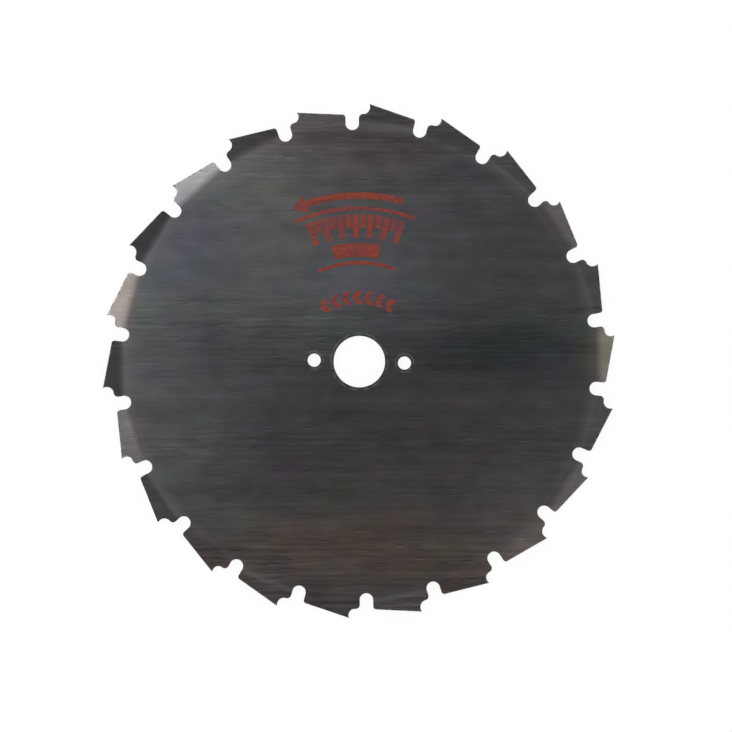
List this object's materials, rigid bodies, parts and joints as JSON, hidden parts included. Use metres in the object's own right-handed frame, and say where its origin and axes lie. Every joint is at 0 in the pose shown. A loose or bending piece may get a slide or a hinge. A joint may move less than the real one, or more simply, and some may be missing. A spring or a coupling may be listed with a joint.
{
  "type": "brush cutter blade",
  "caption": "Flat steel clearing-saw disc with alternately set, bevel-filed teeth over round-bottomed gullets, a central arbor bore and a pin hole on either side of it.",
  "frame": {"origin": "on the arbor bore's axis, midway through the sheet", "axes": "+Z along the bore's axis towards the printed face, +X through the two pin holes; seen from +Z the blade cuts turning counter-clockwise"},
  "size_m": [0.1982, 0.2, 0.0036],
  "materials": {
    "blade_steel": "dark ground steel with a fine straight grain"
  },
  "bodies": {
    "root": {"blade": "blade_steel"}
  },
  "joints": []
}
